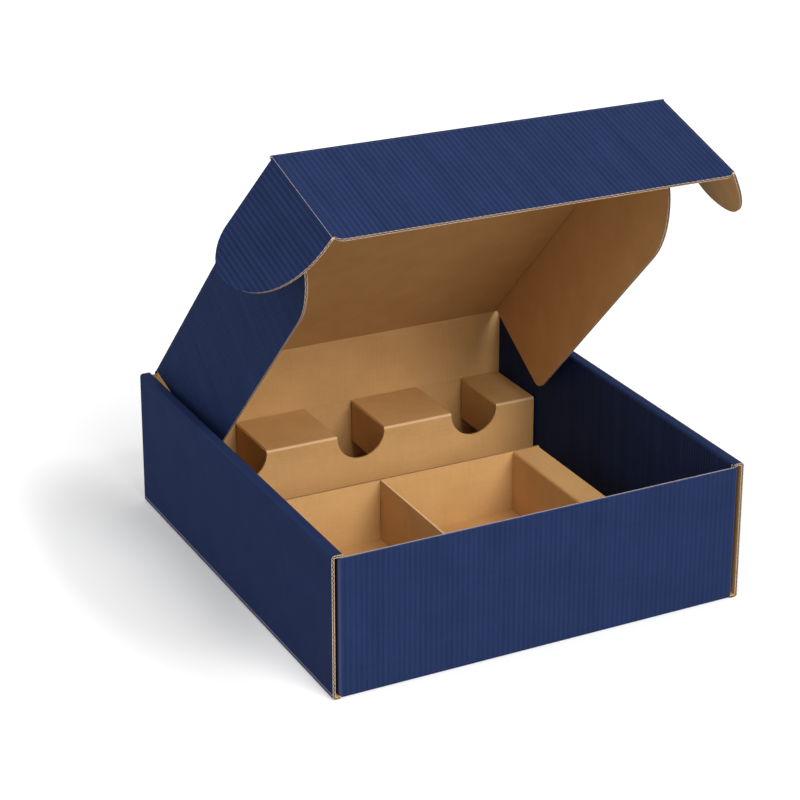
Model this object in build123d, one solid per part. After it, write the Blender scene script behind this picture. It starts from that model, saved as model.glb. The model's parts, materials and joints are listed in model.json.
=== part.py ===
"""A corrugated shipping box for bottles, with its lid half open.

Origin: on the underside of the base, at the middle of its length and width.
+X runs to the right along the front wall, +Y runs from the front wall to the back wall, +Z is up.
All sizes are in millimetres.

The box is one folded sheet: a base, four walls, a lid on the back wall, a flap on each side of the
lid, a tuck flap on its front edge and an ear at each end of the tuck flap. The lid and its flaps
turn at their creases, so each is a plate of its own that ends in a round nose on its crease line.
Inside stand a neck rest, a cell tray, a divider and a spacer, all folded from thinner board.
"""

from build123d import *
from math import cos, radians, sin
import os

# --- Driving dimensions -------------------------------------------------------------------------
BOX_WIDTH = 296.0
BOX_DEPTH = 316.0
BOX_HEIGHT = 98.0
BOARD = 1.8                # thickness of the box's board
INNER_BOARD = 1.5          # thickness of the inserts' board
BEND = 1.3                 # radius of a fold, at the middle of the board
RIM_WIDTH = 8.4            # flat strip on top of each double side wall

FRONT_HEIGHT = 95.5        # the front wall stops below the rim by a little more than the lid
CORNER_SLOT = 1.2          # gap between a side wall and the end of the front or back wall
DUST_FLAP = 62.0           # reach of the flaps that fold in between the two layers of a side wall
CREASE_GAP = 1.2           # from a crease line to the edge of the panel that carries the next one
WALL_GAP = 0.4             # between an inner side wall and the front or back wall

LID_LENGTH = 308.0         # from the back crease to the tuck flap's crease
LID_OPEN = 45.7            # degrees above closed
SIDE_CREASE = 12.0         # from the box's outer side to a lid side flap's crease
SIDE_DEPTH = 84.0
SIDE_FRONT = 295.0         # where a side flap's front edge starts, along the lid
SIDE_REAR = 4.0            # where its slanting rear edge starts, along the lid
SIDE_REAR_TIP = 41.0       # where that edge ends
SIDE_REAR_ROUND = 12.0
SIDE_FRONT_ROUND = 46.0
LEFT_SIDE_FOLD = 94.0      # degrees from flat
RIGHT_SIDE_FOLD = 97.5
TUCK_DEPTH = 92.0
TUCK_FOLD = 62.0           # degrees from flat
TUCK_CORNER = 5.0
EAR_CREASE = 9.6           # from the box's outer side to an ear's crease
EAR_FOLD = 60.0            # degrees from flat
EAR_START = 2.0            # an ear starts this far below the tuck flap's crease
EAR_END = 89.0
EAR_STRAIGHT = 51.8        # length of its straight top edge
EAR_SHOULDER = (69.2, 10.5)  # a point of the curve from the top edge to the tip
EAR_TIP = (74.0, 28.0)
EAR_BELLY = (53.3, 69.0)   # a point of the curve from the tip back to the crease
EAR_ROOT = 4.0             # where that curve ends

INSERT_TOP = 48.3          # height of every insert's top face
INSERT_SIDE = 10.5         # from the box's outer side to the inserts
REST_FRONT = 256.0         # front face of the neck rest
REST_BACK = 313.6
NECK_PITCH = 92.0
NECK_SECOND = 143.0        # middle of the second neck slot, from the box's outer side
NECK_RADIUS = 18.7
NECK_FLAP = 32.0           # depth of the flap folded down beside each neck slot

TRAY_FRONT = 12.0
TRAY_BACK = 179.5
TRAY_FOLD = 1.35           # outer radius of the fold under each of the tray's walls
CORNER_SLIT = 0.6          # between two of the tray's walls
DIVIDER_AT = 120.0         # left face of the divider
TAB_LOW = 16.0             # the divider's tabs, from here
TAB_HIGH = 34.0            # to here
TAB_OUT = 1.0              # a tab stands out of the tray's wall by this much
TAB_GAP = 0.3              # play around a tab
SPACER_LEFT = 223.9
SPACER_RIGHT = 245.4
SPACER_FOOT = 18.0
FLAP_TAPER = 6.0           # slope of the dust flaps' upper edge, so that they slip in easily
FOLD_RISE = 24.5           # the fold strip under the front and back walls laps up to here
FLAP_HEEL = 5.2            # a neck flap's fold strip starts this far before the slot's edge
CUT_PAST = 1.0             # every cut runs past the face it cuts by this much

PARTS = "parts"

X = Vector(1, 0, 0)
opening = radians(LID_OPEN)
tuck_turn = radians(TUCK_FOLD)

# Directions of the half-open lid: along it from the back crease, and square to it, inwards.
LID_ALONG = Vector(0, -cos(opening), sin(opening))
LID_IN = Vector(0, -sin(opening), -cos(opening))
# The same two directions of the tuck flap.
TUCK_ALONG = LID_ALONG * cos(tuck_turn) + LID_IN * sin(tuck_turn)
TUCK_IN = LID_IN * cos(tuck_turn) - LID_ALONG * sin(tuck_turn)

LID_CREASE = Vector(0, BOX_DEPTH - BOARD / 2, BOX_HEIGHT - BOARD / 2)
TUCK_CREASE = LID_CREASE + LID_ALONG * LID_LENGTH


# --- Helpers ------------------------------------------------------------------------------------
def block(x, y, z):
    """A box between the two values given for each direction."""
    size = (x[1] - x[0], y[1] - y[0], z[1] - z[0])
    middle = ((x[0] + x[1]) / 2, (y[0] + y[1]) / 2, (z[0] + z[1]) / 2)
    return Pos(*middle) * Box(*size)


def folded(plane, points, thickness, length):
    """Board folded along the line of points, drawn on a plane and carried along its normal."""
    line = FilletPolyline(*points, radius=BEND)
    return extrude(plane * trace(line, line_width=thickness), amount=length)


def across(y):
    """An upright plane facing +Y at y: its first axis is -X and its second is +Z."""
    return Plane(origin=(0, y, 0), x_dir=(-1, 0, 0), z_dir=(0, 1, 0))


def lengthwise(x):
    """An upright plane facing +X at x: its first axis is +Y and its second is +Z."""
    return Plane(origin=(x, 0, 0), x_dir=(0, 1, 0), z_dir=(1, 0, 0))


def plate(plane, outline, thickness=BOARD):
    """A flat panel with its middle on the plane."""
    return extrude(plane * make_face(outline), amount=thickness / 2, both=True)


def nose(start, end):
    """The round edge of a panel on its crease line."""
    along = end - start
    round_edge = Cylinder(BOARD / 2, along.length, align=(Align.CENTER, Align.CENTER, Align.MIN))
    return Plane(origin=start, z_dir=along.normalized()) * round_edge


def mirrored(shape):
    """The same piece on the other side of the box."""
    return mirror(shape, about=Plane(origin=(BOX_WIDTH / 2, 0, 0), z_dir=(1, 0, 0)))


# --- The box's lower part: base and walls, one folded sheet --------------------------------------
def outer_tray():
    """The base, the double side walls, the front and back walls, and the dust flaps."""
    half = BOARD / 2
    middle = BOX_WIDTH / 2
    inner = RIM_WIDTH - half
    rim = BOX_HEIGHT - half

    base_to_rim = [(-middle, half), (-half, half), (-half, rim), (-(RIM_WIDTH - BOARD), rim)]
    rim_to_inner = [(-half * 2, rim), (-inner, rim), (-inner, BOARD)]
    inner_start = BOARD + WALL_GAP
    inner_length = BOX_DEPTH - 2 * inner_start
    side = folded(across(0), base_to_rim, BOARD, BOX_DEPTH)
    side += folded(across(inner_start), rim_to_inner, BOARD, inner_length)
    body = side + mirrored(side)

    # Front and back walls, each with a dust flap at both ends.
    flap_line = BOARD + CORNER_SLOT + half
    lift = BOARD + WALL_GAP
    walls = []
    for wall_y, inwards, top in (
        (half, 1, FRONT_HEIGHT),
        (BOX_DEPTH - half, -1, BOX_HEIGHT - half - CREASE_GAP),
    ):
        end_y = wall_y + inwards * (DUST_FLAP - half)
        line = [
            (flap_line, end_y),
            (flap_line, wall_y),
            (BOX_WIDTH - flap_line, wall_y),
            (BOX_WIDTH - flap_line, end_y),
        ]
        flap_top = FRONT_HEIGHT - BOARD
        walls.append(folded(Plane.XY.offset(lift), line, BOARD, top - lift))
        trim_from = wall_y + inwards * 2 * BOARD
        slope = Polyline(
            (trim_from, top),
            (end_y + inwards * BOARD, flap_top - FLAP_TAPER),
            (end_y + inwards * BOARD, BOX_HEIGHT),
            (trim_from, BOX_HEIGHT),
            close=True,
        )
        walls[-1] -= extrude(lengthwise(0) * make_face(slope), amount=BOX_WIDTH)
        fold = [(BOX_DEPTH / 2, half), (wall_y, half), (wall_y, FOLD_RISE)]
        fold_start = flap_line + BEND
        walls.append(folded(lengthwise(fold_start), fold, BOARD, BOX_WIDTH - 2 * fold_start))
    for wall in walls:
        body += wall
    return body


# --- The lid and its flaps ----------------------------------------------------------------------
def lid_panel():
    """The lid, from its round nose on the back crease to just short of the tuck flap's crease."""
    left = SIDE_CREASE + CREASE_GAP
    right = BOX_WIDTH - left
    plane = Plane(origin=LID_CREASE, x_dir=X, z_dir=LID_IN)
    end = LID_LENGTH - CREASE_GAP
    outline = Polyline((left, 0), (right, 0), (right, end), (left, end), close=True)
    edge = nose(LID_CREASE + X * left, LID_CREASE + X * right)
    return plate(plane, outline) + edge


def side_flap(fold):
    """A left side flap: a slanting rear edge and a large round front corner, folded by fold degrees."""
    turn = radians(fold)
    crease = LID_CREASE + X * SIDE_CREASE
    outwards = X * -cos(turn) + LID_IN * sin(turn)
    plane = Plane(origin=crease, x_dir=LID_ALONG, z_dir=LID_ALONG.cross(outwards))
    corners = Polyline(
        (SIDE_REAR, 0),
        (SIDE_REAR_TIP, SIDE_DEPTH),
        (SIDE_FRONT - BOARD, SIDE_DEPTH),
        (SIDE_FRONT, 0),
        close=True,
    )
    face = make_face(corners)
    rear_corner = face.vertices().group_by(Axis.Y)[-1].sort_by(Axis.X)[0]
    face = fillet(rear_corner, SIDE_REAR_ROUND)
    front_corner = face.vertices().group_by(Axis.Y)[-1].sort_by(Axis.X)[-1]
    face = fillet(front_corner, SIDE_FRONT_ROUND)
    panel = extrude(plane * face, amount=BOARD / 2, both=True)
    edge = nose(crease + LID_ALONG * SIDE_REAR, crease + LID_ALONG * SIDE_FRONT)
    return panel + edge


def tuck_flap():
    """The flap on the lid's front edge."""
    left = EAR_CREASE + CREASE_GAP
    right = BOX_WIDTH - left
    plane = Plane(origin=TUCK_CREASE, x_dir=X, z_dir=TUCK_IN)
    outline = make_face(
        Polyline((left, 0), (right, 0), (right, TUCK_DEPTH), (left, TUCK_DEPTH), close=True)
    )
    outline = fillet(outline.vertices().group_by(Axis.Y)[-1], TUCK_CORNER)
    edge = nose(TUCK_CREASE + X * left, TUCK_CREASE + X * right)
    return extrude(plane * outline, amount=BOARD / 2, both=True) + edge


def ear():
    """The ear at the tuck flap's left end: straight on top, round at its tip and below."""
    turn = radians(EAR_FOLD)
    crease = TUCK_CREASE + X * EAR_CREASE
    outwards = X * -cos(turn) + TUCK_IN * sin(turn)
    plane = Plane(origin=crease, x_dir=outwards, z_dir=outwards.cross(TUCK_ALONG))
    top = Line((0, EAR_START), (EAR_STRAIGHT, EAR_START))
    tip = ThreePointArc(top @ 1, EAR_SHOULDER, EAR_TIP)
    lower = ThreePointArc(EAR_TIP, EAR_BELLY, (EAR_ROOT, EAR_END))
    root = Polyline(lower @ 1, (0, EAR_END), top @ 0)
    panel = extrude(plane * make_face([top, tip, lower, root]), amount=BOARD / 2, both=True)
    edge = nose(crease + TUCK_ALONG * EAR_START, crease + TUCK_ALONG * EAR_END)
    return panel + edge


# --- The inserts --------------------------------------------------------------------------------
def neck_rest():
    """A bridge along the back wall, with a round-bottomed slot for each bottle's neck."""
    half = INNER_BOARD / 2
    top = INSERT_TOP - half
    line = [
        (REST_FRONT + half, BOARD),
        (REST_FRONT + half, top),
        (REST_BACK - half, top),
        (REST_BACK - half, BOARD),
    ]
    rest = folded(lengthwise(INSERT_SIDE), line, INNER_BOARD, BOX_WIDTH - 2 * INSERT_SIDE)
    for step in (-1, 0, 1):
        middle = NECK_SECOND + step * NECK_PITCH
        edge = middle + NECK_RADIUS
        rest -= block(
            (middle - NECK_RADIUS, edge),
            (REST_FRONT - CUT_PAST, REST_BACK - INNER_BOARD),
            (INSERT_TOP - 2 * INNER_BOARD, INSERT_TOP + CUT_PAST),
        )
        bore = Cylinder(NECK_RADIUS, 4 * INNER_BOARD)
        rest -= Pos(middle, REST_FRONT + half, INSERT_TOP - BEND) * Rot(90, 0, 0) * bore
        fold = [
            (-(edge + FLAP_HEEL), top),
            (-(edge + half), top),
            (-(edge + half), INSERT_TOP - NECK_FLAP),
        ]
        flap_from = REST_FRONT + 2 * INNER_BOARD
        flap_length = REST_BACK - 2 * INNER_BOARD - flap_from
        flap_span = (flap_from, flap_from + flap_length)
        rest -= block((edge - CUT_PAST, edge + half), flap_span, (top, INSERT_TOP + CUT_PAST))
        rest += folded(across(flap_from), fold, INNER_BOARD, flap_length)
    return rest


def cell_tray():
    """A low tray with walls on its left, front and back, and a slit at each corner between two walls.

    Its right-hand end is open as far as the spacer, and its floor runs on beyond the spacer.
    """
    outside = (INSERT_SIDE, SPACER_RIGHT)
    inside_y = (TRAY_FRONT + INNER_BOARD, TRAY_BACK - INNER_BOARD)
    floor_top = BOARD + INNER_BOARD
    tray = block(outside, (TRAY_FRONT, TRAY_BACK), (BOARD, INSERT_TOP))
    under_walls = tray.edges().group_by(Axis.Z)[0].sort_by(Axis.X)[:-1]
    tray = fillet(under_walls, TRAY_FOLD)
    inside_x = (INSERT_SIDE + INNER_BOARD, SPACER_RIGHT + CUT_PAST)
    above_floor = (floor_top, INSERT_TOP + CUT_PAST)
    tray -= block(inside_x, inside_y, above_floor)
    tray += block((SPACER_RIGHT, BOX_WIDTH - INSERT_SIDE), inside_y, (BOARD, floor_top))
    for wall_y in (inside_y[0], inside_y[1] - CORNER_SLIT):
        slit_x = (INSERT_SIDE - CUT_PAST, INSERT_SIDE + INNER_BOARD)
        tray -= block(slit_x, (wall_y, wall_y + CORNER_SLIT), above_floor)
    slot_x = (DIVIDER_AT - TAB_GAP, DIVIDER_AT + INNER_BOARD + TAB_GAP)
    slot_z = (TAB_LOW - TAB_GAP, TAB_HIGH + TAB_GAP)
    tray -= block(slot_x, (TRAY_FRONT - CUT_PAST, TRAY_BACK + CUT_PAST), slot_z)
    return tray


def cell_divider():
    """An upright strip between the two cells, with a tab through each of the tray's long walls."""
    strip_x = (DIVIDER_AT, DIVIDER_AT + INNER_BOARD)
    strip_y = (TRAY_FRONT + INNER_BOARD + TAB_GAP, TRAY_BACK - INNER_BOARD - TAB_GAP)
    strip = block(strip_x, strip_y, (BOARD + INNER_BOARD, INSERT_TOP))
    return strip + block(strip_x, (TRAY_FRONT - TAB_OUT, TRAY_BACK + TAB_OUT), (TAB_LOW, TAB_HIGH))


def side_spacer():
    """A hollow rib that closes off the right-hand end of the tray."""
    half = INNER_BOARD / 2
    floor = BOARD + INNER_BOARD
    left = SPACER_LEFT + half
    right = SPACER_RIGHT - half
    top = INSERT_TOP - half
    line = [
        (-left, floor),
        (-left, top),
        (-right, top),
        (-right, floor + half),
        (-(right + SPACER_FOOT), floor + half),
    ]
    start = TRAY_FRONT + INNER_BOARD
    return folded(across(start), line, INNER_BOARD, TRAY_BACK - INNER_BOARD - start)


# --- Write every piece, moved so that the origin is at the middle of the base ----------------------
left_ear = ear()
pieces = {
    "outer_tray": outer_tray(),
    "lid_panel": lid_panel(),
    "lid_side_flap_left": side_flap(LEFT_SIDE_FOLD),
    "lid_side_flap_right": mirrored(side_flap(RIGHT_SIDE_FOLD)),
    "tuck_flap": tuck_flap(),
    "ear_left": left_ear,
    "ear_right": mirrored(left_ear),
    "neck_rest": neck_rest(),
    "cell_tray": cell_tray(),
    "cell_divider": cell_divider(),
    "side_spacer": side_spacer(),
}

os.makedirs(PARTS, exist_ok=True)
to_middle = Pos(-BOX_WIDTH / 2, -BOX_DEPTH / 2, 0)
for name, piece in pieces.items():
    export_step(to_middle * piece, f"{PARTS}/{name}.step")
    print(name, round(piece.volume / 1000, 2), "cm3")
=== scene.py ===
# %% [markdown]
# # A corrugated shipping box for bottles
#
# The box is one sheet of corrugated board, printed blue on its outside and left bare kraft brown on
# its inside. The sheet is cut, creased and folded. Corrugated board is a sandwich: a wavy sheet, the
# medium, is glued between two flat ones, the liners. The waves are called flutes. Every edge that is
# cut across the flutes shows them, so each panel here is built as that sandwich, and not as a slab.
#
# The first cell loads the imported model. Its joints say where the creases are, so no crease is placed
# by hand.

# %% Load the frame
import json

import bpy
import numpy as np
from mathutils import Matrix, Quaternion, Vector


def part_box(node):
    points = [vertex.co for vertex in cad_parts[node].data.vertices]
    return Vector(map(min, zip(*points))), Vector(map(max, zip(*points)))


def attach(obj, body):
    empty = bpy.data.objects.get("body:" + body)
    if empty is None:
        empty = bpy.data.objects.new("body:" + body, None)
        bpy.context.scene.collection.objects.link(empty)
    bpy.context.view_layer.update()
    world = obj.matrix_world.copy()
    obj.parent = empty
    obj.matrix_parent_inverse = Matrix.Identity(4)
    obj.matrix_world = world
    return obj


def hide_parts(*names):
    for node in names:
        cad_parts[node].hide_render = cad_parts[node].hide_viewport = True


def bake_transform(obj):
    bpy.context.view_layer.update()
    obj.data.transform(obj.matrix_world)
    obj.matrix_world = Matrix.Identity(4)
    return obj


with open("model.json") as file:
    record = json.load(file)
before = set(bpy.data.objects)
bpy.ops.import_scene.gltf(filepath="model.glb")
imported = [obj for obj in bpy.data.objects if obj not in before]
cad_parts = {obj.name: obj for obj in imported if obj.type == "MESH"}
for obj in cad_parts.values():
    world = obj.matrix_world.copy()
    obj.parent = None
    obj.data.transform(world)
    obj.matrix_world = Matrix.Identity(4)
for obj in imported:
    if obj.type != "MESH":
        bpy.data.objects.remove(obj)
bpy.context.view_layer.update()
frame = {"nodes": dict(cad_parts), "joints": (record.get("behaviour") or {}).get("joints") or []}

joints = {joint["name"]: joint for joint in frame["joints"]}

# %% [markdown]
# ## The board's own sizes
#
# A box is made from its board, so the board comes first. The liners are about as thick as card, and
# the medium is thinner. Under the print the liner sinks a little between two flutes. That gives the
# fine ribs that catch the light all over the box.

# %% Sizes of the board
MM = 0.001
BOARD = 1.8 * MM           # the whole sandwich
LINER = 0.30 * MM
MEDIUM = 0.22 * MM
SINK = 0.08 * MM           # depth of the hollow between two flutes
INNER_SHARE = 0.3          # the bare side sinks by this share of that
FLUTE = 3.66 * MM          # from one flute to the next
SIDE_FLUTE = 2.93 * MM     # the side walls' flutes are closer together
PER_FLUTE = 8              # columns of points to one flute
CREASE_GAP = 1.2 * MM      # from a crease line to the edge of a flat panel
BEND = 1.3 * MM            # radius of a fold, at the middle of the board
HALF = BOARD / 2

tray_low, tray_high = (np.array(corner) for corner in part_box("outer_tray"))
SIDE = tray_high[0]        # outer face of the right side wall
BACK = tray_high[1]        # outer face of the back wall
TOP = tray_high[2]
print(f"box {2 * SIDE / MM:.0f} x {2 * BACK / MM:.0f} x {TOP / MM:.0f} mm")

# %% [markdown]
# ## From two grids of points to a closed sheet
#
# Each liner and each medium is a thin closed sheet. It has a grid of points on its outer side and
# another on its inner side. The grids are filled with quads, and a strip of quads closes the border
# between them. The arrays do this for all points at once.
#
# Each sheet carries its place in the flat blank as a UV map, counted in flutes: the first number
# grows across the flutes and the second along them. The finishes read it, so ribs and fibres follow
# the board round its folds, in every pose of the lid.

# %% A closed sheet between two grids
PRINT, KRAFT, CUT, HOLLOW = 0, 1, 2, 3


def closed_sheet(over, under, flat, faces, wear_and_highlight, relief):
    """A closed sheet between the grids over and under, both n by m by 3.

    Point (i, j) makes a quad with (i+1, j), (i+1, j+1) and (i, j+1), on both grids, and the border
    runs once round the grid. faces names the finish of the outer side, inner side and border. The
    last two arguments say, point by point, how much the print is rubbed and given a painted
    highlight, and how strong the ribs are.
    """
    n, m = over.shape[:2]
    index = np.arange(n * m).reshape(n, m)
    quads = np.stack([index[:-1, :-1], index[1:, :-1], index[1:, 1:], index[:-1, 1:]], -1)
    quads = quads.reshape(-1, 4)
    border = np.concatenate([index[:-1, 0], index[-1, :-1], index[:0:-1, -1], index[0, :0:-1]])
    after = np.roll(border, -1)
    under_quads = quads[:, ::-1] + n * m
    strip = np.stack([border + n * m, after + n * m, after, border], -1)
    run, rise = over[1, 0] - over[0, 0], over[0, 1] - over[0, 0]
    all_faces = np.concatenate([quads, under_quads, strip])
    if np.dot(np.cross(run, rise), over[0, 0] - under[0, 0]) < 0:
        all_faces = all_faces[:, ::-1]
    finish = np.repeat(faces, [len(quads), len(quads), len(strip)])
    points = np.concatenate([over.reshape(-1, 3), under.reshape(-1, 3)])
    flat_points = np.tile(flat.reshape(-1, 2), (2, 1))
    worn_and_highlit = np.concatenate([wear_and_highlight.reshape(-1), wear_and_highlight.reshape(-1) * 0])
    return points, all_faces, finish, flat_points, worn_and_highlit, np.tile(relief.reshape(-1), 2)


# %% [markdown]
# ## The sandwich
#
# A panel is given by the board's middle surface and its outward direction, over a grid that runs
# across the flutes in one direction and along them in the other. The medium follows a cosine across
# the flutes. Where it touches the outer liner, the liner stands proud, and between two flutes it
# sinks a little. The inner liner does the same, half a flute later.

# %% Three sheets from one middle surface
def sandwich(across, along, place, flute=FLUTE, ribs=0.8, wear_and_highlight=0.0, turned=False):
    """Outer liner, medium and inner liner of a panel.

    across and along are n by m arrays of distances in the flat blank, in metres. place(across,
    along) gives the middle surface and its outward normal. The medium stands off the middle by
    cos(2 pi across / flute) times the room between the liners. The outer liner sinks by ribs times
    (1 - cos) / 2 of SINK, and the inner one by INNER_SHARE of that. turned marks points where the
    print's own fine lines run the other way.
    """
    middle, outward = place(across, along)
    wave = np.cos(2 * np.pi * across / flute)[..., None]
    room = HALF - LINER - MEDIUM / 2
    turned = np.broadcast_to(turned, across.shape)[..., None]
    flat = np.where(turned, np.stack([along, across], -1), np.stack([across, along], -1)) / flute
    wear_and_highlight, relief = np.broadcast_to(wear_and_highlight, across.shape), np.broadcast_to(ribs, across.shape)
    sink = SINK * np.where(turned, 0, relief[..., None])
    over = HALF - sink * (1 - wave) / 2
    under = -HALF + INNER_SHARE * sink * (1 + wave) / 2
    none = np.zeros(across.shape)
    return [
        closed_sheet(middle + outward * over, middle + outward * (HALF - LINER), flat,
                     (PRINT, HOLLOW, CUT), wear_and_highlight, relief),
        closed_sheet(middle + outward * (wave * room + MEDIUM / 2),
                     middle + outward * (wave * room - MEDIUM / 2), flat,
                     (HOLLOW, HOLLOW, CUT), none, none),
        closed_sheet(middle + outward * (LINER - HALF), middle + outward * under, flat,
                     (HOLLOW, KRAFT, CUT), none, relief),
    ]


def columns(low, high, flute=FLUTE, extra=()):
    """Distances across the flutes, PER_FLUTE to a flute, with the extra ones that an outline needs."""
    count = max(2, round((high - low) / flute * PER_FLUTE) + 1)
    return np.unique(np.concatenate([np.linspace(low, high, count), extra]).round(7))


def between(across, low, high, rows=2):
    """Grids for a panel: at each distance across, rows of points from low to high along the flutes."""
    share = np.linspace(0, 1, rows)
    low, high = np.broadcast_to(low, across.shape), np.broadcast_to(high, across.shape)
    along = low[:, None] + (high - low)[:, None] * share
    return np.repeat(across[:, None], rows, 1), along


# %% [markdown]
# ## Where the sheet lies
#
# A flat panel is placed by its corner and three directions. A folded one follows a line of straight
# runs joined by arcs, drawn in a plane, and is carried square to that plane.

# %% Flat and folded places
FOLD_STEPS = 8             # straight steps in the arc of one fold


def vector(*numbers):
    return np.array(numbers, float)


def unit(direction):
    return direction / np.linalg.norm(direction)


def flat_place(corner, across_way, along_way, outward):
    """place(a, b) = corner + a across_way + b along_way, with one outward direction everywhere."""
    def place(a, b):
        middle = corner + a[..., None] * across_way + b[..., None] * along_way
        return middle, np.broadcast_to(outward, middle.shape)
    return place


def fold_line(corners, radius=BEND, steps=FOLD_STEPS):
    """A line through corners with each inner corner rounded: distance, points and heading.

    A corner that turns by t starts its arc radius tan(t / 2) before the corner. The heading grows
    evenly along the arc, and the arc's length is radius times t.
    """
    corners = np.array(corners, float)
    runs = np.diff(corners, axis=0)
    headings = np.unwrap(np.arctan2(runs[:, 1], runs[:, 0]))
    points, angles, distance = [corners[0]], [headings[0]], [0.0]
    for corner, before, after in zip(corners[1:-1], headings[:-1], headings[1:]):
        turn = after - before
        start = corner - radius * np.tan(abs(turn) / 2) * vector(np.cos(before), np.sin(before))
        distance_to_arc = distance[-1] + np.linalg.norm(start - points[-1])
        side = np.sign(turn)
        centre = start + side * radius * vector(-np.sin(before), np.cos(before))
        for angle in np.linspace(before, after, steps + 1):
            points.append(centre - side * radius * vector(-np.sin(angle), np.cos(angle)))
            angles.append(angle)
            distance.append(distance_to_arc + radius * abs(angle - before))
    distance.append(distance[-1] + np.linalg.norm(corners[-1] - points[-1]))
    points.append(corners[-1])
    angles.append(headings[-1])
    return np.array(distance), np.array(points), np.array(angles)


def folded_place(line, first, second, carry, side, fold_is_along=False):
    """place(a, b) for board folded along line, drawn with the directions first and second.

    The board is carried along the direction carry. side is +1 where the print is on the right-hand
    side of the line, and -1 on its left. fold_is_along says that the line runs along the flutes.
    """
    distance, points, angles = line

    def place(a, b):
        run, carried = (b, a) if fold_is_along else (a, b)
        u = np.interp(run, distance, points[:, 0])[..., None]
        v = np.interp(run, distance, points[:, 1])[..., None]
        heading = np.interp(run, distance, angles)[..., None]
        middle = u * first + v * second + carried[..., None] * carry
        return middle, side * (np.sin(heading) * first - np.cos(heading) * second)
    return place


# %% [markdown]
# ## From sheets to a named piece
#
# The sheets of one piece go into one mesh, with a finish for each face, the UV map of the flat blank,
# and two numbers per point: how much the print is rubbed and given a painted highlight there, and
# how strong its ribs are.

# %% Make a mesh from sheets
finishes = []


def make_piece(name, body, sheets, stands_for=()):
    """Joins sheets into one mesh object that rides on a body and stands for CAD nodes."""
    starts = np.cumsum([0] + [len(sheet[0]) for sheet in sheets[:-1]])
    points = np.concatenate([sheet[0] for sheet in sheets])
    faces = np.concatenate([sheet[1] + start for sheet, start in zip(sheets, starts)])
    finish = np.concatenate([sheet[2] for sheet in sheets])
    flat = np.concatenate([sheet[3] for sheet in sheets])
    wear_and_highlight = np.concatenate([sheet[4] for sheet in sheets])
    relief = np.concatenate([sheet[5] for sheet in sheets])
    mesh = bpy.data.meshes.new(name)
    mesh.from_pydata(points.tolist(), [], faces.tolist())
    mesh.polygons.foreach_set("material_index", finish.astype(np.int32))
    mesh.uv_layers.new(name="blank").data.foreach_set("uv", flat[faces.ravel()].ravel())
    mesh.attributes.new("wear_and_highlight", "FLOAT", "POINT").data.foreach_set("value", wear_and_highlight)
    mesh.attributes.new("relief", "FLOAT", "POINT").data.foreach_set("value", relief)
    mesh.polygons.foreach_set("use_smooth", np.ones(len(faces), bool))
    mesh.set_sharp_from_angle(angle=np.radians(50))
    mesh.update()
    piece = bpy.data.objects.new(name, mesh)
    bpy.context.scene.collection.objects.link(piece)
    if isinstance(body, str):
        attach(piece, body)
    if stands_for:
        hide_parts(*stands_for)
    finishes.append(piece)
    print(f"{name}: {len(sheets)} sheets, {len(faces) * 2} triangles")
    return piece


# %% [markdown]
# ## The tray
#
# The base and both double side walls are one run of board: up the outer wall, over the flat rim, and
# down inside. The flutes run from front to back here, so the rim's cut ends show them. The inner walls
# stop short of the front and back walls, which stand between them.

# %% Base and side walls
X, Y, Z = vector(1, 0, 0), vector(0, 1, 0), vector(0, 0, 1)
RIM = 8.4 * MM             # width of the flat strip on top of a side wall
WALL_GAP = 0.4 * MM
CORNER_SLOT = 2.4 * MM     # between a side wall and the end of the front wall
SIDE_WALL_RIBS = 0.16
INNER_WALL_RIBS = 0.9
LOWER_EDGE_RUB = 0.75      # how worn a side wall is just above its fold to the base
LOWER_RUB_WIDTH = 0.9 * MM
STEP = 0.01 * MM           # where an outline jumps, two columns stand this far apart
SAME = 1e-7                # distances closer than this are the same
wall_x = SIDE - HALF
rim_z = TOP - HALF
inner_x = SIDE - RIM + HALF
side_line = fold_line([
    (-inner_x, BOARD + WALL_GAP),
    (-inner_x, rim_z),
    (-wall_x, rim_z),
    (-wall_x, HALF),
    (wall_x, HALF),
    (wall_x, rim_z),
    (inner_x, rim_z),
    (inner_x, BOARD + WALL_GAP),
])
side_length = side_line[0][-1]
inner_depth = side_line[0][1] + BEND * np.pi / 4
base_fold = 1 + 2 * (FOLD_STEPS + 1)       # its first point comes after the start and two folds
base_from = np.interp(-SIDE + 3 * BOARD, side_line[1][base_fold:, 0], side_line[0][base_fold:])
jumps = vector(inner_depth + STEP, base_from, base_from + STEP, side_length - base_from,
               side_length - base_from - STEP, side_length - inner_depth - STEP)
side_run = columns(0, side_length, SIDE_FLUTE, np.concatenate([side_line[0], jumps]))
from_end = np.minimum(side_run, side_length - side_run)
front_edge = np.select(
    [from_end <= inner_depth + SAME, from_end <= base_from + SAME],
    [BACK - BOARD - WALL_GAP, BACK],
    BACK - HALF - BEND,
)
lower_edge = side_line[0][base_fold] - BEND * np.pi / 4
rubbed = LOWER_EDGE_RUB * np.exp(-((from_end - lower_edge) / LOWER_RUB_WIDTH) ** 2)
is_inner = from_end <= inner_depth + SAME
grid = between(side_run, -front_edge, front_edge)
tray = sandwich(
    *grid,
    folded_place(side_line, X, Z, Y, 1),
    flute=SIDE_FLUTE,
    ribs=np.where(is_inner, INNER_WALL_RIBS, SIDE_WALL_RIBS)[:, None],
    wear_and_highlight=rubbed[:, None],
    turned=is_inner[:, None],
)

# %% [markdown]
# The front wall and the back wall each turn a corner at both ends and run on as a dust flap, held
# between the two layers of a side wall. Their flutes stand upright. A short quarter turn joins each
# of them to the base.

# %% Front and back walls
DUST_FLAP = 62 * MM
FRONT_TOP = 95.5 * MM
FLAP_DROP = 7.8 * MM       # how far a dust flap's top edge falls towards its end
END_WALL_RIBS = 0.38
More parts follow.
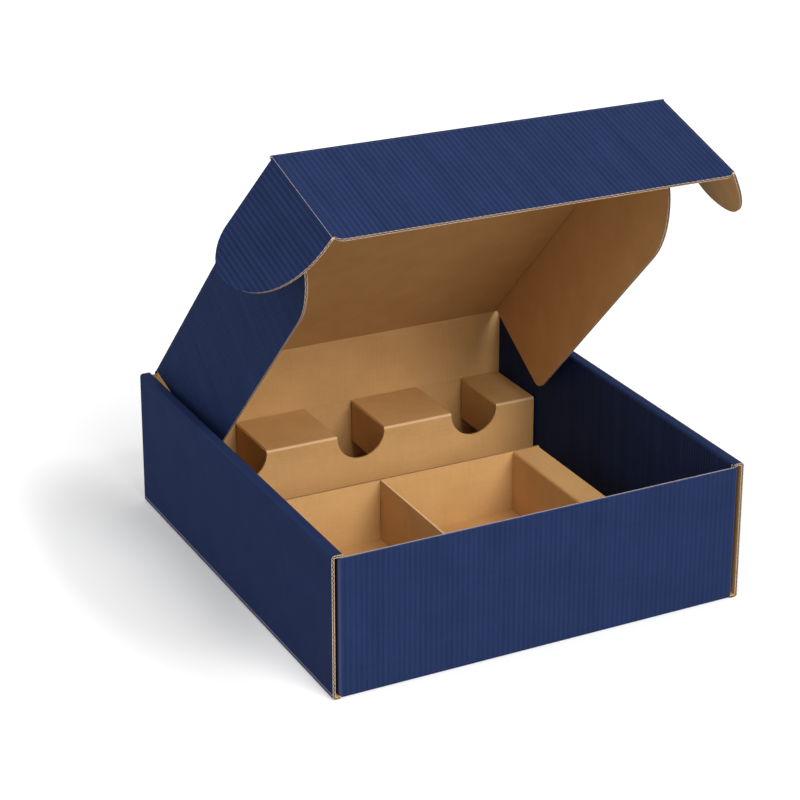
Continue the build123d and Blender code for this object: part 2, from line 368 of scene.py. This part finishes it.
# Painted highlights: along the crown of the front wall's round top edge, with a few rubbed flecks, and down
# the round corners where the end walls turn into dust flaps.
TOP_EDGE_HIGHLIGHT_AND_RUB = 0.85
CORNER_HIGHLIGHT = 0.40
CORNER_HIGHLIGHT_WIDTH = 1.0 * MM
TOP_EDGE_POINTS = 9
flap_x = SIDE - BOARD - CORNER_SLOT - HALF
lift = BOARD + WALL_GAP


def pressed_edge(run, height, place):
    """A wall's round top edge: HALF sin(t) over height, HALF cos(t) off the middle, 0 <= t <= pi."""
    turn = np.linspace(0, np.pi, TOP_EDGE_POINTS)
    across, up = np.repeat(run[:, None], len(turn), 1), np.repeat(height[:, None], len(turn), 1)
    middle, outward = place(across, up)
    spoke = np.cos(turn)[None, :, None] * outward + np.sin(turn)[None, :, None] * Z
    flat = np.stack([across, up + turn * HALF], -1) / FLUTE
    # Painted highlight, strongest where the round edge faces up.
    wear_and_highlight = np.broadcast_to(TOP_EDGE_HIGHLIGHT_AND_RUB * np.sin(turn) ** 2, across.shape)
    relief = np.full(across.shape, END_WALL_RIBS)
    return closed_sheet(middle + spoke * HALF, middle + spoke * (HALF - LINER), flat,
                        (PRINT, KRAFT, PRINT), wear_and_highlight, relief)


def end_wall(way, top):
    """The wall at y = way times the outer depth, with its dust flaps and its fold to the base."""
    wall_y = way * (BACK - HALF)
    flap_y = way * (BACK - DUST_FLAP)
    line = fold_line([(-flap_x, flap_y), (-flap_x, wall_y), (flap_x, wall_y), (flap_x, flap_y)])
    length = line[0][-1]
    run = columns(0, length, FLUTE, line[0])
    from_tip = np.minimum(run, length - run)
    height = np.interp(from_tip, [0, DUST_FLAP - 2 * BOARD], [top - FLAP_DROP, top])
    corner = DUST_FLAP - HALF - BEND * (1 - np.pi / 4)
    # Painted highlight down the round corner between wall and dust flap.
    rubbed = CORNER_HIGHLIGHT * np.exp(-((from_tip - corner) / CORNER_HIGHLIGHT_WIDTH) ** 2)
    place = folded_place(line, X, Y, Z, -way)
    board_top = height - HALF if way < 0 else height
    wall = sandwich(*between(run, lift, board_top), place, ribs=END_WALL_RIBS, wear_and_highlight=rubbed[:, None])
    if way < 0:
        wall.append(pressed_edge(run, board_top, place))
    bottom = fold_line([(wall_y, lift), (wall_y, HALF), (wall_y - way * 3 * BOARD, HALF)])
    turn = bottom[0][:-1]
    start = length / 2
    reach = flap_x - BEND
    fold_run = columns(start - reach, start + reach, FLUTE)
    place = folded_place(bottom, Y, Z, X, -way, fold_is_along=True)
    fold = sandwich(
        np.repeat(fold_run[:, None], len(turn), 1),
        np.repeat(turn[None, :], len(fold_run), 0),
        lambda a, b: place(a - start, b),
        ribs=END_WALL_RIBS,
    )
    return wall + fold


tray += end_wall(-1, FRONT_TOP)
tray += end_wall(1, rim_z - CREASE_GAP)
make_piece("box_tray", "tray", tray, ["outer_tray"])

# %% [markdown]
# ## The lid and its flaps
#
# The lid's directions come from the joints: the side flaps' creases run along the lid, and the ears'
# creases run along the tuck flap. Each panel's outline is two curves, one at each end of its flutes,
# so a round corner is only a longer or a shorter flute.

# %% Directions of the lid and the tuck flap
lid_crease = vector(*joints["lid_hinge"]["pos_m"])
tuck_crease = vector(*joints["tuck_crease"]["pos_m"])
lid_along = unit(tuck_crease - lid_crease)
lid_in = np.cross(X, lid_along)
tuck_along = unit(vector(*joints["ear_left_crease"]["axis"]))
tuck_in = np.cross(X, tuck_along)
lid_length = np.linalg.norm(tuck_crease - lid_crease)
side_crease_x = joints["side_flap_right_crease"]["pos_m"][0]
ear_crease_x = joints["ear_right_crease"]["pos_m"][0]
print("lid", (lid_length / MM).round(1), "mm long; directions", lid_along.round(3), tuck_along.round(3))

# %% Lid panel and tuck flap
lid_side = side_crease_x - CREASE_GAP
lid_run = columns(-lid_side, lid_side)
lid = sandwich(
    *between(lid_run, CREASE_GAP, lid_length - CREASE_GAP),
    flat_place(lid_crease, X, lid_along, -lid_in),
)
make_piece("lid_board", "lid", lid, ["lid_panel"])

TUCK_DEPTH = 92 * MM
TUCK_CORNER = 5 * MM
tuck_side = ear_crease_x - CREASE_GAP
corner_angles = np.linspace(0, np.pi / 2, 9)
corner_x = tuck_side - TUCK_CORNER * (1 - np.sin(corner_angles))
tuck_run = columns(-tuck_side, tuck_side, FLUTE, np.concatenate([corner_x, -corner_x]))
into_corner = np.clip(np.abs(tuck_run) - (tuck_side - TUCK_CORNER), 0, TUCK_CORNER)
tuck_end = TUCK_DEPTH - TUCK_CORNER + np.sqrt(TUCK_CORNER ** 2 - into_corner ** 2)
tuck = sandwich(
    *between(tuck_run, CREASE_GAP, tuck_end),
    flat_place(tuck_crease, X, tuck_along, -tuck_in),
)
make_piece("tuck_board", "tuck", tuck, ["tuck_flap"])

# %% [markdown]
# A side flap has a slanting rear edge and a large round front corner. An ear is straight on top and
# round at its tip and below. Both come in a left and a right version: the right one is the left one
# with its x turned round.

# %% Side flaps
SIDE_FOLDS = {"left": np.radians(94.0), "right": np.radians(97.5)}
SIDE_DEPTH = 84 * MM
SIDE_REAR, SIDE_REAR_TIP, REAR_ROUND = 4 * MM, 41 * MM, 12 * MM
SIDE_FRONT, FRONT_SLANT, FRONT_ROUND = 295 * MM, 1.8 * MM, 46 * MM
SIDE_MIDDLE = SIDE_REAR_TIP + 90 * MM      # between the two round corners
SIDE_RIBS = 0.7
LEAST_DEPTH = 0.2 * MM     # the shortest flute that a round corner leaves


def hand(piece_side):
    """Outward x direction of the left (-1) or right (+1) piece."""
    return X * piece_side


def folded_down(fold, way, inwards):
    """Directions down a flap and out of its print, for a flap folded by an angle from the flat panel.

    down = cos(fold) sideways + sin(fold) inwards; outward is down turned back by a quarter turn.
    """
    down = np.cos(fold) * hand(way) + np.sin(fold) * inwards
    return down, np.sin(fold) * hand(way) - np.cos(fold) * inwards


def side_outline():
    """Depth of a side flap against the distance along the lid: slant, arc, level, arc and slant."""
    rear = fold_line([(SIDE_REAR, 0), (SIDE_REAR_TIP, SIDE_DEPTH), (SIDE_MIDDLE, SIDE_DEPTH)],
                     REAR_ROUND, 12)
    front = fold_line([(SIDE_MIDDLE, SIDE_DEPTH), (SIDE_FRONT - FRONT_SLANT, SIDE_DEPTH),
                       (SIDE_FRONT, 0)], FRONT_ROUND, 24)
    return np.concatenate([rear[1][:-1], front[1]])


outline = side_outline()
side_cols = columns(SIDE_REAR + 0.8 * MM, SIDE_FRONT - 0.03 * MM, FLUTE, outline[1:-1, 0])
side_depth = np.interp(side_cols, outline[:, 0], outline[:, 1])
side_depth = np.maximum(side_depth, CREASE_GAP + LEAST_DEPTH)
for name, way in (("left", -1), ("right", 1)):
    down, outward = folded_down(SIDE_FOLDS[name], way, lid_in)
    flap = sandwich(
        *between(side_cols, CREASE_GAP, side_depth),
        flat_place(lid_crease + way * side_crease_x * X, lid_along, down, outward),
        ribs=SIDE_RIBS,
    )
    make_piece(f"side_flap_board_{name}", f"side_flap_{name}", flap, [f"lid_side_flap_{name}"])

# %% Ears
EAR_FOLD = np.radians(60)
EAR_START, EAR_END = 2 * MM, 89 * MM
EAR_STRAIGHT = 51.8 * MM
EAR_SHOULDER, EAR_TIP, EAR_BELLY, EAR_ROOT = (69.2, 10.5), (74.0, 28.0), (53.3, 69.0), (4.0, 89.0)


def arc_through(first, second, third, steps=24):
    """Points of the circle through three points, in mm, from the first to the third.

    The centre is where the lines square to the two chords at their middles meet.
    """
    first, second, third = (vector(*point) for point in (first, second, third))
    sides = 2 * np.array([second - first, third - second])
    squares = [second @ second - first @ first, third @ third - second @ second]
    centre = np.linalg.solve(sides, squares)
    spokes = [point - centre for point in (first, second, third)]
    angles = np.unwrap([np.arctan2(spoke[1], spoke[0]) for spoke in spokes])
    sweep = np.linspace(angles[0], angles[2], steps + 1)
    return (centre + np.linalg.norm(spokes[0]) * np.stack([np.cos(sweep), np.sin(sweep)], -1)) * MM


ear_top = arc_through((EAR_STRAIGHT / MM, EAR_START / MM), EAR_SHOULDER, EAR_TIP)
ear_low = arc_through(EAR_ROOT, EAR_BELLY, EAR_TIP)
ear_reach = EAR_TIP[0] * MM
ear_curves = np.concatenate([ear_top[1:-1, 0], ear_low[1:-1, 0]])
ear_cols = columns(CREASE_GAP, ear_reach - 0.02 * MM, FLUTE, ear_curves)
ear_cols = ear_cols[(ear_cols >= CREASE_GAP) & (ear_cols <= ear_reach)]
ear_from = np.interp(ear_cols, ear_top[:, 0], ear_top[:, 1], left=EAR_START)
order = np.argsort(ear_low[:, 0])
ear_to = np.interp(ear_cols, ear_low[order, 0], ear_low[order, 1], left=EAR_END)
ear_to = np.maximum(ear_to, ear_from + LEAST_DEPTH)
for name, way in (("left", -1), ("right", 1)):
    out, outward = folded_down(EAR_FOLD, way, tuck_in)
    ear = sandwich(
        *between(ear_cols, ear_from, ear_to),
        flat_place(tuck_crease + way * ear_crease_x * X, out, tuck_along, outward),
    )
    make_piece(f"ear_board_{name}", f"{name}_ear", ear, [f"ear_{name}"])

# %% [markdown]
# ## The creases that move
#
# Between two panels the board bends. Each moving crease is a short solid strip of its own: round on
# the outside and pressed into a valley on the inside. It runs from one panel's face to the other's,
# as the panels stand at rest.

# %% A crease between two panels
CREASE_OVERLAP = 0.05 * MM     # how far a strip reaches into each panel
VALLEY_DEPTH = 0.75            # as a share of half the board
CREASE_RUB_WIDTH = 0.28        # as a share of half the strip's width


def crease(name, start, end, into_first, into_second, outer_first, outer_second,
           flutes_cross=True, offset=0.0, worn_and_highlit=0.0, relief=0.5, rounds=6, ends=CUT):
    """A strip of folded board from the crease line start-end.

    Its section runs from the first panel's outer face round the crease line, at half the board's
    thickness, to the second panel's outer face, and back through a valley on the inner side.
    """
    turn = np.arccos(np.clip(outer_first @ outer_second, -1, 1))
    share = np.linspace(0, 1, rounds + 1)[:, None]
    arc = (np.sin((1 - share) * turn) * outer_first + np.sin(share * turn) * outer_second) / np.sin(turn)
    flat_end = CREASE_GAP + CREASE_OVERLAP
    outer = np.concatenate([
        [into_first * flat_end + outer_first * HALF],
        arc * HALF,
        [into_second * flat_end + outer_second * HALF],
    ])
    bisector = unit(outer_first + outer_second)
    count = len(outer)
    inner_share = np.linspace(0, 1, count)[:, None]
    first_low = into_first * flat_end - outer_first * HALF
    second_low = into_second * flat_end - outer_second * HALF
    valley = -bisector * HALF * VALLEY_DEPTH
    inner = np.where(inner_share <= 0.5, first_low + (valley - first_low) * inner_share * 2,
                     valley + (second_low - valley) * (inner_share * 2 - 1))
    steps = vector(0, np.linalg.norm(end - start))
    carry = unit(end - start)
    over = start + outer[None] + steps[:, None, None] * carry
    under = start + inner[None] + steps[:, None, None] * carry
    round_length = np.concatenate([[0], np.cumsum(np.linalg.norm(np.diff(outer, axis=0), axis=1))])
    lengthwise = np.repeat((steps + offset)[:, None], count, 1) / FLUTE
    around = np.repeat(round_length[None], 2, 0) / FLUTE
    flat = np.stack([lengthwise, around] if flutes_cross else [around, lengthwise], -1)
    middle = np.abs(np.linspace(-1, 1, count))
    wear_and_highlight = np.repeat((worn_and_highlit * np.exp(-(middle / CREASE_RUB_WIDTH) ** 2))[None], 2, 0)
    sheet = closed_sheet(over, under, flat, (PRINT, KRAFT, ends), wear_and_highlight, np.full(wear_and_highlight.shape, relief))
    piece = make_piece(name, None, [sheet])
    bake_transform(piece)


lid_end = side_crease_x + HALF
crease("lid_crease_board",
       lid_crease - X * lid_end, lid_crease + X * lid_end,
       -Z, lid_along, Y, -lid_in, offset=-lid_end, worn_and_highlit=0.15, rounds=3, ends=PRINT)
tuck_crease_end = ear_crease_x + HALF
crease("tuck_crease_board",
       tuck_crease - X * tuck_crease_end, tuck_crease + X * tuck_crease_end,
       -lid_along, tuck_along, -lid_in, -tuck_in, offset=-tuck_crease_end, worn_and_highlit=0.9)
for name, way in (("left", -1), ("right", 1)):
    down, outward = folded_down(SIDE_FOLDS[name], way, lid_in)
    line_start = lid_crease + way * side_crease_x * X
    crease(f"side_crease_board_{name}",
           line_start + lid_along * CREASE_GAP, line_start + lid_along * SIDE_FRONT,
           -hand(way), down, -lid_in, outward, offset=CREASE_GAP, worn_and_highlit=0.3)
    out, outward = folded_down(EAR_FOLD, way, tuck_in)
    line_start = tuck_crease + way * ear_crease_x * X
    crease(f"ear_crease_board_{name}",
           line_start + tuck_along * HALF, line_start + tuck_along * EAR_END,
           -hand(way), out, -tuck_in, outward, flutes_cross=False, offset=HALF, worn_and_highlit=1.0)

# %% [markdown]
# ## Shared effects
#
# Print and kraft are the same paper underneath, so they share two effects. One is the paper: fine
# fibres, a linen-like weave of hairlines, and slow cloudy changes. The other is the ribs that the
# flutes press through the liner. Each is a node group that gives out masks and heights only.

# %% Helpers for nodes
def node(tree, kind, inputs=None, **settings):
    """Adds a node, sets its properties, and joins or sets its inputs by name or number."""
    made = tree.nodes.new(kind)
    for key, value in settings.items():
        setattr(made, key, value)
    for key, value in (inputs or {}).items():
        if isinstance(value, bpy.types.NodeSocket):
            tree.links.new(value, made.inputs[key])
        else:
            made.inputs[key].default_value = value
    return made


def math(tree, operation, first, second=0.5):
    return node(tree, "ShaderNodeMath", {0: first, 1: second}, operation=operation).outputs[0]


def weighed(tree, base, *parts):
    """base + the sum of weight * (value - 0.5) over the parts, each a pair of value and weight."""
    total = base
    for value, weight in parts:
        centred = math(tree, "SUBTRACT", value, 0.5)
        total = math(tree, "ADD", math(tree, "MULTIPLY", centred, weight), total)
    return total


def ramp(tree, value, low, high, to_low=0.0, to_high=1.0):
    """A smooth step of value from low to high."""
    inputs = {"Value": value, "From Min": low, "From Max": high, "To Min": to_low, "To Max": to_high}
    return node(tree, "ShaderNodeMapRange", inputs, interpolation_type="SMOOTHSTEP").outputs[0]


def noise(tree, where, scale, detail, roughness):
    inputs = {"Vector": where, "Scale": scale, "Detail": detail, "Roughness": roughness}
    return node(tree, "ShaderNodeTexNoise", inputs).outputs["Fac"]


def stretched(tree, where, scale):
    """The coordinates with each direction scaled on its own."""
    return node(tree, "ShaderNodeMapping", {"Vector": where, "Scale": scale}).outputs[0]


def mixed(tree, factor, first, second):
    """A colour between two colours or sockets."""
    inputs = {"Factor": factor, 6: first, 7: second}
    return node(tree, "ShaderNodeMix", inputs, data_type="RGBA").outputs[2]


def new_group(name, outputs):
    """A node group that takes the place on the board, Where, and gives out numbers."""
    group = bpy.data.node_groups.new(name, "ShaderNodeTree")
    group.interface.new_socket("Where", in_out="INPUT", socket_type="NodeSocketVector")
    for title in outputs:
        group.interface.new_socket(title, in_out="OUTPUT", socket_type="NodeSocketFloat")
    return group, group.nodes.new("NodeGroupInput"), group.nodes.new("NodeGroupOutput")


# %% Paper and rib groups
def paper_group():
    """Fibres, hairlines and clouds, on coordinates counted in flutes.

    The hairlines are three noises, each drawn out along one direction, so that two sets of fine
    lines cross on every face. All outputs lie about 0.5.
    """
    group, given, out = new_group("paper", ["Fibre", "Hairlines", "Cloud", "Height"])
    where = given.outputs["Where"]
    specks = noise(group, where, 7.0, 4.0, 0.7)
    lines = [noise(group, stretched(group, where, scale), 1.0, 2.0, 0.6)
             for scale in ((0.16, 3.2, 3.2), (3.2, 0.16, 3.2), (3.2, 3.2, 0.16))]
    hair = math(group, "ADD", math(group, "ADD", lines[0], lines[1]), lines[2])
    hair = math(group, "MULTIPLY", hair, 1 / 3)
    cloud = noise(group, where, 0.12, 3.0, 0.55)
    height = math(group, "MULTIPLY", specks, 0.6)
    height = math(group, "ADD", height, math(group, "MULTIPLY", hair, 0.4))
    for title, value in (("Fibre", specks), ("Hairlines", hair), ("Cloud", cloud), ("Height", height)):
        group.links.new(value, out.inputs[title])
    return group


def rib_group():
    """Ribs one flute apart, cos(2 pi across), uneven from one flute to the next, and soft streaks."""
    group, given, out = new_group("ribs", ["Rib", "Streak"])
    parts = node(group, "ShaderNodeSeparateXYZ", {0: given.outputs["Where"]})
    across = parts.outputs[0]
    turned = math(group, "MULTIPLY", across, 2 * np.pi)
    wave = math(group, "COSINE", turned)
    uneven = noise(group, stretched(group, given.outputs["Where"], (1.3, 0.012, 0.0)), 1.0, 2.0, 0.7)
    streak = noise(group, stretched(group, given.outputs["Where"], (0.45, 0.008, 0.0)), 1.0, 4.0, 0.75)
    wave = math(group, "MULTIPLY", wave, math(group, "MULTIPLY", uneven, 2.0))
    rib = node(group, "ShaderNodeMath", {0: wave, 1: 0.5, 2: 0.5}, operation="MULTIPLY_ADD", use_clamp=True)
    group.links.new(rib.outputs[0], out.inputs["Rib"])
    group.links.new(streak, out.inputs["Streak"])
    return group


paper = paper_group()
ribs = rib_group()
print("groups", paper.name, ribs.name)

# %% [markdown]
# ## The finishes
#
# The box has four. The print is a matt dark blue ink with painted shading on its ribs: a little
# lighter on the crown of each rib and darker between. Along folds and round edges the blue turns
# lighter, partly from rubbed ink and partly as a painted highlight. Where a fold has been pressed,
# the ink is rubbed and the kraft shows as a thin broken line. Kraft is brown paper with visible
# fibres, and the box's kraft liner carries a faint painted shading of the ribs. A cut edge is paler.
# The inside of a flute is a plain dark brown.
#
# The insert is kraft too. Its pieces keep the shapes of the model that was loaded, and only their
# finishes are made here: a painted highlight on the folds of the neck rest, a dark top edge on the
# tray and a pale one on the divider.

# %% Colours
BLUE_DARK = (0.0112, 0.0200, 0.0580, 1)
BLUE_LIGHT = (0.0210, 0.0370, 0.1070, 1)
BLUE_RUB_AND_HIGHLIGHT = (0.120, 0.130, 0.250, 1)
RUBBED_THROUGH = (0.460, 0.380, 0.370, 1)
KRAFT_DARK = (0.440, 0.235, 0.080, 1)
KRAFT_LIGHT = (0.690, 0.422, 0.178, 1)
CUT_DARK = (0.440, 0.310, 0.200, 1)
CUT_LIGHT = (0.740, 0.570, 0.430, 1)
HOLLOW_BROWN = (0.200, 0.130, 0.080, 1)
TOP_PALE = (0.740, 0.500, 0.270, 1)
TOP_DARK = (0.300, 0.175, 0.080, 1)
FOLD_HIGHLIGHT = (0.820, 0.600, 0.380, 1)
TOP_EDGE_DEPTH = 0.1 * MM  # how far down the colour of a cut top edge reaches
PRINT_GRAIN = 0.03 * MM    # height of the paper's grain under the print
KRAFT_GRAIN = 0.05 * MM


# %% Printed and kraft board
def new_material(name):
    """A material with a Principled shader, and the tree to build on."""
    material = bpy.data.materials.new(name)
    material.use_nodes = True
    tree = material.node_tree
    tree.nodes.clear()
    shader = tree.nodes.new("ShaderNodeBsdfPrincipled")
    out = tree.nodes.new("ShaderNodeOutputMaterial")
    tree.links.new(shader.outputs[0], out.inputs[0])
    return material, tree, shader


def use_group(tree, group, where):
    """The outputs of a shared effect at the coordinates where."""
    return node(tree, "ShaderNodeGroup", {"Where": where}, node_tree=group).outputs


def bump(tree, height, distance):
    return node(tree, "ShaderNodeBump", {"Height": height, "Distance": distance}).outputs[0]


def printed_board():
    """Blue ink over paper, with painted shading on its ribs, rubbed and given a painted highlight at the
    folds.
    """
    material, tree, shader = new_material("printed_board")
    where = node(tree, "ShaderNodeUVMap", uv_map="blank").outputs[0]
    sheet = use_group(tree, paper, where)
    pressed = use_group(tree, ribs, where)
    relief = node(tree, "ShaderNodeAttribute", attribute_name="relief").outputs["Fac"]
    # Painted shading of the ribs: the ink is lighter on each rib's crown and darker between, on top of the
    # real relief.
    tone = weighed(tree, 0.5,
                   (pressed["Rib"], math(tree, "MULTIPLY", relief, 0.85)),
                   (pressed["Streak"], math(tree, "MULTIPLY", relief, 1.4)),
                   (sheet["Cloud"], 0.5), (sheet["Hairlines"], 1.1))
    ink = mixed(tree, tone, BLUE_DARK, BLUE_LIGHT)
    worn_and_highlit = node(tree, "ShaderNodeAttribute", attribute_name="wear_and_highlight").outputs["Fac"]
    broken = math(tree, "MULTIPLY", worn_and_highlit, math(tree, "ADD", sheet["Fibre"], 0.5))
    # A lighter blue along folds and round edges, partly rubbed ink and partly a painted highlight; past
    # that, real rubbing shows the kraft.
    light_rub_and_highlight = ramp(tree, broken, 0.10, 0.60)
    deep_rub = ramp(tree, broken, 0.60, 0.85)
    ink = mixed(tree, math(tree, "MULTIPLY", light_rub_and_highlight, 0.55), ink, BLUE_RUB_AND_HIGHLIGHT)
    colour = mixed(tree, deep_rub, ink, RUBBED_THROUGH)
    tree.links.new(colour, shader.inputs["Base Color"])
    tree.links.new(ramp(tree, sheet["Fibre"], 0.2, 0.8, 0.52, 0.68), shader.inputs["Roughness"])
    shader.inputs["Specular IOR Level"].default_value = 0.02
    tree.links.new(bump(tree, sheet["Height"], PRINT_GRAIN), shader.inputs["Normal"])
    return material


def kraft_finish(name, where_from, dark, light, painted_rib_shade=0.0, top=None, painted_fold_highlight=False):
    """Bare kraft paper between two browns, with crossed hairlines, fibres, slow clouds and an optional
    faint painted shading of the ribs.

    top is a height in metres and the colour of the cut edge there. The fold flag paints a highlight
    on folds between a front and a top face, where the light catches them: 2 |n_y| n_z is 1 halfway
    round such a fold.
    """
    material, tree, shader = new_material(name)
    where = where_from(tree)
    sheet = use_group(tree, paper, where)
    tone = weighed(tree, 0.5, (sheet["Fibre"], 0.5), (sheet["Hairlines"], 0.6), (sheet["Cloud"], 0.55))
    # Painted shading of the ribs, lighter on their crowns.
    if painted_rib_shade:
        tone = weighed(tree, tone, (use_group(tree, ribs, where)["Rib"], painted_rib_shade))
    colour = mixed(tree, tone, dark, light)
    if top is not None:
        height, top_colour = top
        place = node(tree, "ShaderNodeTexCoord").outputs["Object"]
        level = node(tree, "ShaderNodeSeparateXYZ", {0: place}).outputs[2]
        colour = mixed(tree, ramp(tree, level, height - TOP_EDGE_DEPTH, height), colour, top_colour)
    # Painted highlight on folds that face both front and up.
    if painted_fold_highlight:
        facing = node(tree, "ShaderNodeNewGeometry").outputs["Normal"]
        parts = node(tree, "ShaderNodeSeparateXYZ", {0: facing})
        slant = math(tree, "MULTIPLY", math(tree, "ABSOLUTE", parts.outputs[1]), parts.outputs[2])
        colour = mixed(tree, ramp(tree, slant, 0.2, 0.45, 0.0, 0.6), colour, FOLD_HIGHLIGHT)
    tree.links.new(colour, shader.inputs["Base Color"])
    tree.links.new(ramp(tree, sheet["Fibre"], 0.2, 0.8, 0.75, 0.92), shader.inputs["Roughness"])
    shader.inputs["Specular IOR Level"].default_value = 0.2
    tree.links.new(bump(tree, sheet["Height"], KRAFT_GRAIN), shader.inputs["Normal"])
    return material


def from_blank(tree):
    """The place in the flat blank, counted in flutes."""
    return node(tree, "ShaderNodeUVMap", uv_map="blank").outputs[0]


def from_object(tree):
    """Object coordinates counted in flutes."""
    place = node(tree, "ShaderNodeTexCoord").outputs["Object"]
    return stretched(tree, place, (1 / FLUTE,) * 3)


box_finishes = [
    printed_board(),
    kraft_finish("kraft_liner", from_blank, KRAFT_DARK, KRAFT_LIGHT, painted_rib_shade=0.03),
    kraft_finish("cut_edge", from_blank, CUT_DARK, CUT_LIGHT),
    kraft_finish("hollow_flute", from_blank, HOLLOW_BROWN, HOLLOW_BROWN),
]
for piece in finishes:
    for finish in box_finishes:
        piece.data.materials.append(finish)
insert_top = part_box("cell_tray")[1][2]
browns = (KRAFT_DARK, KRAFT_LIGHT)
insert_finishes = {
    "neck_rest": kraft_finish("rest_kraft", from_object, *browns, painted_fold_highlight=True),
    "cell_tray": kraft_finish("tray_kraft", from_object, *browns, top=(insert_top, TOP_DARK)),
    "cell_divider": kraft_finish("divider_kraft", from_object, *browns, top=(insert_top, TOP_PALE)),
    "side_spacer": kraft_finish("spacer_kraft", from_object, *browns),
}
for name, finish in insert_finishes.items():
    insert = frame["nodes"][name]
    insert.data.materials.clear()
    insert.data.materials.append(finish)
print("finishes", [material.name for material in bpy.data.materials])

# %% [markdown]
# ## Floor, light and camera
#
# The box stands on a white floor under soft daylight. The sun comes from the front, a little from the
# right, and a weak, very soft fill comes from the left. The floor adds light of its own for the camera
# only, which makes it white. It adds less inside an oval beside the box, where the shade lies at rest.
# The oval is given here and doesn't follow the lid.

# %% Floor
FLOOR_TO_EYE = (0.80, 0.80, 0.80, 1)
FLOOR_TO_LIGHT = (0.52, 0.52, 0.52, 1)
FLOOR_GLOW = (0.03, 0.26)      # in the shade beside the box, and away from it
SHADE_AT = (-0.19, 0.06, 0.0)  # middle of the oval
SHADE_REACH = (0.08, 0.22, 1.0)
SHADE_CORE = 0.45              # share of the oval over which the glow is weakest
FLOOR_REACH = 12.0


def white_floor():
    """A large white plane that is white to the camera and plain to everything else."""
    mesh = bpy.data.meshes.new("floor")
    reach = FLOOR_REACH
    corners = [(-reach, -reach, 0), (reach, -reach, 0), (reach, reach, 0), (-reach, reach, 0)]
    mesh.from_pydata(corners, [], [(0, 1, 2, 3)])
    floor = bpy.data.objects.new("floor", mesh)
    floor.location.z = tray_low[2]
    bpy.context.scene.collection.objects.link(floor)
    material = bpy.data.materials.new("floor_white")
    material.use_nodes = True
    tree = material.node_tree
    tree.nodes.clear()
    seen = node(tree, "ShaderNodeLightPath").outputs["Is Camera Ray"]
    grey = mixed(tree, seen, FLOOR_TO_LIGHT, FLOOR_TO_EYE)
    matt = node(tree, "ShaderNodeBsdfDiffuse", {"Color": grey})
    place = node(tree, "ShaderNodeTexCoord").outputs["Object"]
    oval = {"Vector": place, "Location": SHADE_AT, "Scale": SHADE_REACH}
    from_shade = node(tree, "ShaderNodeMapping", oval, vector_type="TEXTURE").outputs[0]
    away = node(tree, "ShaderNodeVectorMath", {0: from_shade}, operation="LENGTH").outputs["Value"]
    lift = math(tree, "MULTIPLY", seen, ramp(tree, away, SHADE_CORE, 1.0, *FLOOR_GLOW))
    glow = node(tree, "ShaderNodeEmission", {"Color": (1, 1, 1, 1), "Strength": lift})
    both = node(tree, "ShaderNodeAddShader", {0: matt.outputs[0], 1: glow.outputs[0]})
    out = tree.nodes.new("ShaderNodeOutputMaterial")
    tree.links.new(both.outputs[0], out.inputs[0])
    mesh.materials.append(material)
    return floor


floor = white_floor()
print("floor at height", floor.location.z, "with", floor.data.materials[0].name)

# %% Light
SUN_FROM = (0.20, -1.00, 0.70)
SUN_STRENGTH = 2.7
SUN_SOFTNESS = 36.0
FILL_FROM = (-1.00, -0.30, 0.55)
FILL_STRENGTH = 0.75
FILL_SOFTNESS = 80.0
DAYLIGHT = 0.60


def sun_lamp(name, comes_from, strength, softness):
    """A lamp that shines from a direction everywhere, as wide as softness degrees."""
    data = bpy.data.lights.new(name, "SUN")
    data.energy = strength
    data.angle = np.radians(softness)
    lamp = bpy.data.objects.new(name, data)
    lamp.rotation_euler = Vector(comes_from).to_track_quat("Z", "Y").to_euler()
    bpy.context.scene.collection.objects.link(lamp)


sun_lamp("sun", SUN_FROM, SUN_STRENGTH, SUN_SOFTNESS)
sun_lamp("fill", FILL_FROM, FILL_STRENGTH, FILL_SOFTNESS)

world = bpy.data.worlds.new("daylight")
bpy.context.scene.world = world
world.use_nodes = True
tree = world.node_tree
tree.nodes.clear()
path = node(tree, "ShaderNodeLightPath")
plain = math(tree, "MAXIMUM", path.outputs["Is Camera Ray"], path.outputs["Is Glossy Ray"])
plain = math(tree, "MAXIMUM", plain, path.outputs["Is Transmission Ray"])
strength = node(tree, "ShaderNodeMapRange", {"Value": plain, "To Min": DAYLIGHT, "To Max": 1.0}).outputs[0]
sky = node(tree, "ShaderNodeBackground", {"Color": (1, 1, 1, 1), "Strength": strength})
world_out = tree.nodes.new("ShaderNodeOutputWorld")
tree.links.new(sky.outputs[0], world_out.inputs[0])
print("lamps", [lamp.name for lamp in bpy.data.lights], "and daylight", DAYLIGHT)

# %% Camera
# A shifted lens looks aside without turning the camera.
CAMERA_AT = (-0.6920, -1.3301, 0.7541)
CAMERA_WAY = (0.45213, 0.82137, -0.34775)
CAMERA_ROLL = 0.805        # degrees
LENS = 108.65
LENS_SHIFT = (-0.1055, -0.1520)

camera_data = bpy.data.cameras.new("camera")
camera_data.lens = LENS
camera_data.sensor_width = 36
camera_data.shift_x, camera_data.shift_y = LENS_SHIFT
camera = bpy.data.objects.new("camera", camera_data)
camera.location = CAMERA_AT
level = Vector(CAMERA_WAY).to_track_quat("-Z", "Y")
camera.rotation_euler = (level @ Quaternion((0, 0, 1), np.radians(CAMERA_ROLL))).to_euler()
bpy.context.scene.collection.objects.link(camera)
bpy.context.scene.camera = camera
bpy.context.scene.view_settings.view_transform = "Standard"
print("camera", CAMERA_AT, "lens", LENS)
